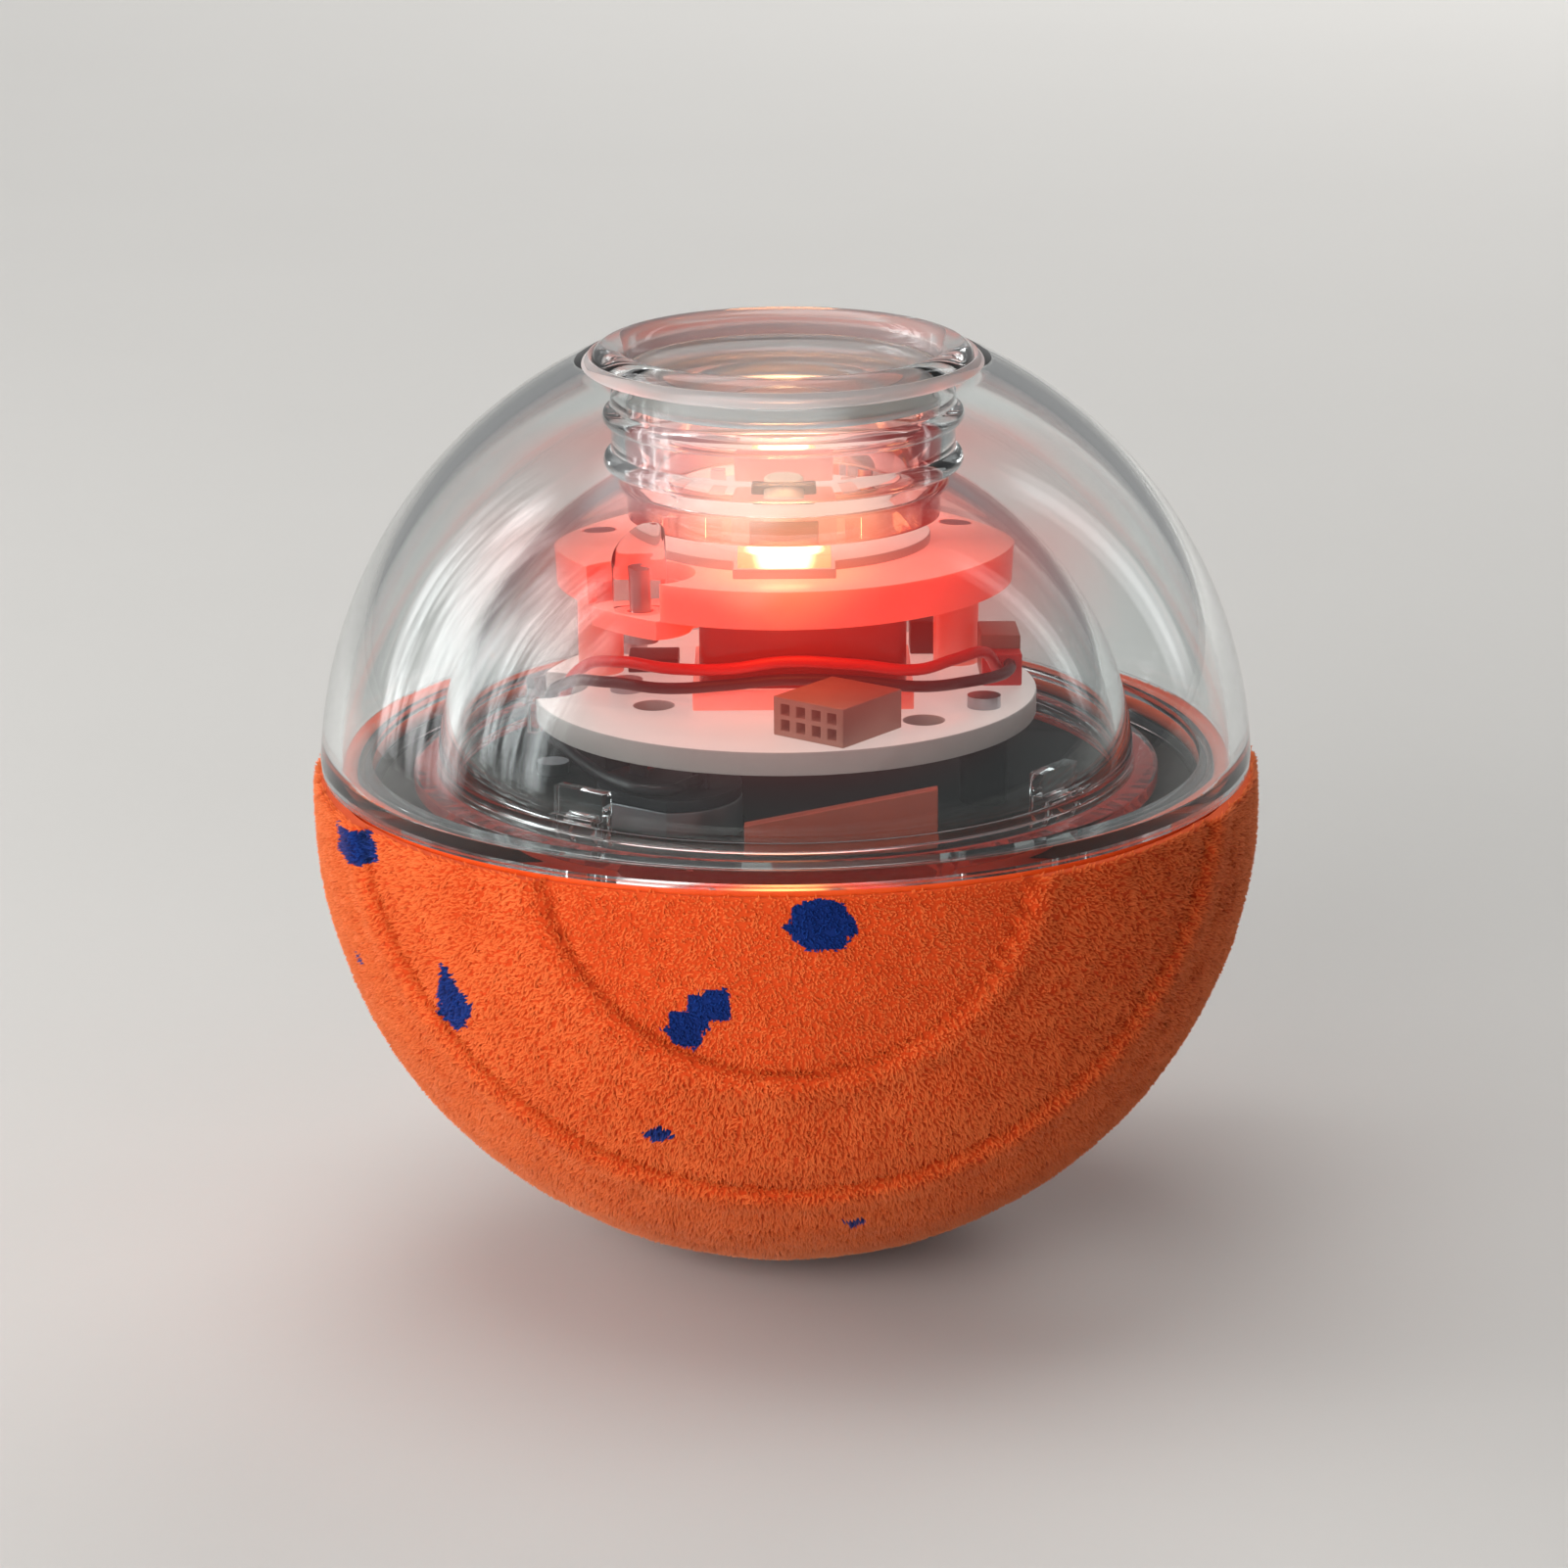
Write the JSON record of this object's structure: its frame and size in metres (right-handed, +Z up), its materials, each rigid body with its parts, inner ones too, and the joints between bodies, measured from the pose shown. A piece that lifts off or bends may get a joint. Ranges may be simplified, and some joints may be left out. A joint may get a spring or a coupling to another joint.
{
  "type": "self-rolling dog ball",
  "caption": "Ball-shaped dog toy with a plush lower half, a clear dome and a lit motor capsule that turns inside and makes the ball roll.",
  "frame": {"origin": "centre of the flat foot under the plush half, on the floor", "axes": "+Z up along the ball's upright axis, -Y towards the side with the boards' pin socket"},
  "size_m": [0.082, 0.0804, 0.0799],
  "materials": {
    "plush": "short orange pile",
    "shell_plastic": "moulded, dark",
    "clear_plastic": "clear, polished",
    "seal_rubber": "matt orange",
    "gasket_rubber": "matt red",
    "pale_rubber": "matt pale",
    "tray_plastic": "moulded, black",
    "gear_plastic": "moulded, ivory",
    "steel": "plain",
    "brass": "plain",
    "deck_plastic": "translucent white",
    "board_white": "white solder mask",
    "board_black": "black mould compound",
    "lamp_lens": "lit red",
    "socket_ivory": "ivory connector plastic",
    "plug_red": "red connector plastic",
    "lead_red": "smooth insulation",
    "lead_black": "smooth insulation",
    "battery_wrap": "dark wrap",
    "foam": "foam",
    "panel_brown": "reddish brown"
  },
  "bodies": {
    "shell": {"lower_shell": "shell_plastic", "plush_cover": "plush", "seal_ring": "seal_rubber", "drive_gear": "gear_plastic", "gear_screws": "steel", "axle_pin": "steel", "axle_clip": "steel", "thrust_washer": "gear_plastic"},
    "dome": {"clear_dome": "clear_plastic", "crown_collar": "clear_plastic"},
    "cap": {"end_cap": "clear_plastic", "cap_seal": "pale_rubber"},
    "pinion": {"motor_shaft": "steel", "motor_pinion": "brass"},
    "button": {"power_button": "gear_plastic"},
    "capsule": {"carrier_tray": "tray_plastic", "capsule_dome": "clear_plastic", "capsule_gasket": "gasket_rubber", "capsule_clips": "clear_plastic", "upper_deck": "deck_plastic", "deck_posts": "deck_plastic", "deck_screws": "steel", "lamp_board": "board_white", "lamps": "lamp_lens", "lamp_board_tabs": "clear_plastic", "charging_socket": "steel", "switch_body": "board_black", "main_board": "board_white", "pin_socket": "socket_ivory", "board_parts": "board_black", "lead_socket": "socket_ivory", "lead_plug": "plug_red", "red_lead": "lead_red", "black_lead": "lead_black", "battery": "battery_wrap", "battery_cradle": "deck_plastic", "battery_pad": "foam", "board_pillars": "tray_plastic", "board_screws": "steel", "baffle_plate": "panel_brown", "motor_can": "steel", "motor_end": "board_black", "gearbox": "shell_plastic", "gear_plate": "tray_plastic", "plate_pillars": "brass", "plate_screws": "steel", "plate_bush": "brass", "counterweight": "steel", "weight_screws": "steel"}
  },
  "joints": [
    {"name": "capsule_spin", "type": "hinge", "parent": "shell", "child": "capsule", "pos_m": [0, 0, 0.0405], "axis": [0, 0, 1], "continuous": true},
    {"name": "pinion_spin", "type": "hinge", "parent": "capsule", "child": "pinion", "pos_m": [-0.00964, -0.01376, 0.0158], "axis": [0, 0, 1], "continuous": true},
    {"name": "dome_lift", "type": "slide", "parent": "shell", "child": "dome", "axis": [0, 0, 1], "range_m": [0, 0.04]},
    {"name": "cap_pull", "type": "slide", "parent": "dome", "child": "cap", "axis": [0, 0, 1], "range_m": [0, 0.015]},
    {"name": "button_press", "type": "slide", "parent": "capsule", "child": "button", "axis": [0, 0, -1], "range_m": [0, 0.0004], "stiffness_N_per_m": 800, "springref_m": -0.0003}
  ],
  "couplings": [
    {"joint": "pinion_spin", "follows": "capsule_spin", "ratio": 3}
  ]
}
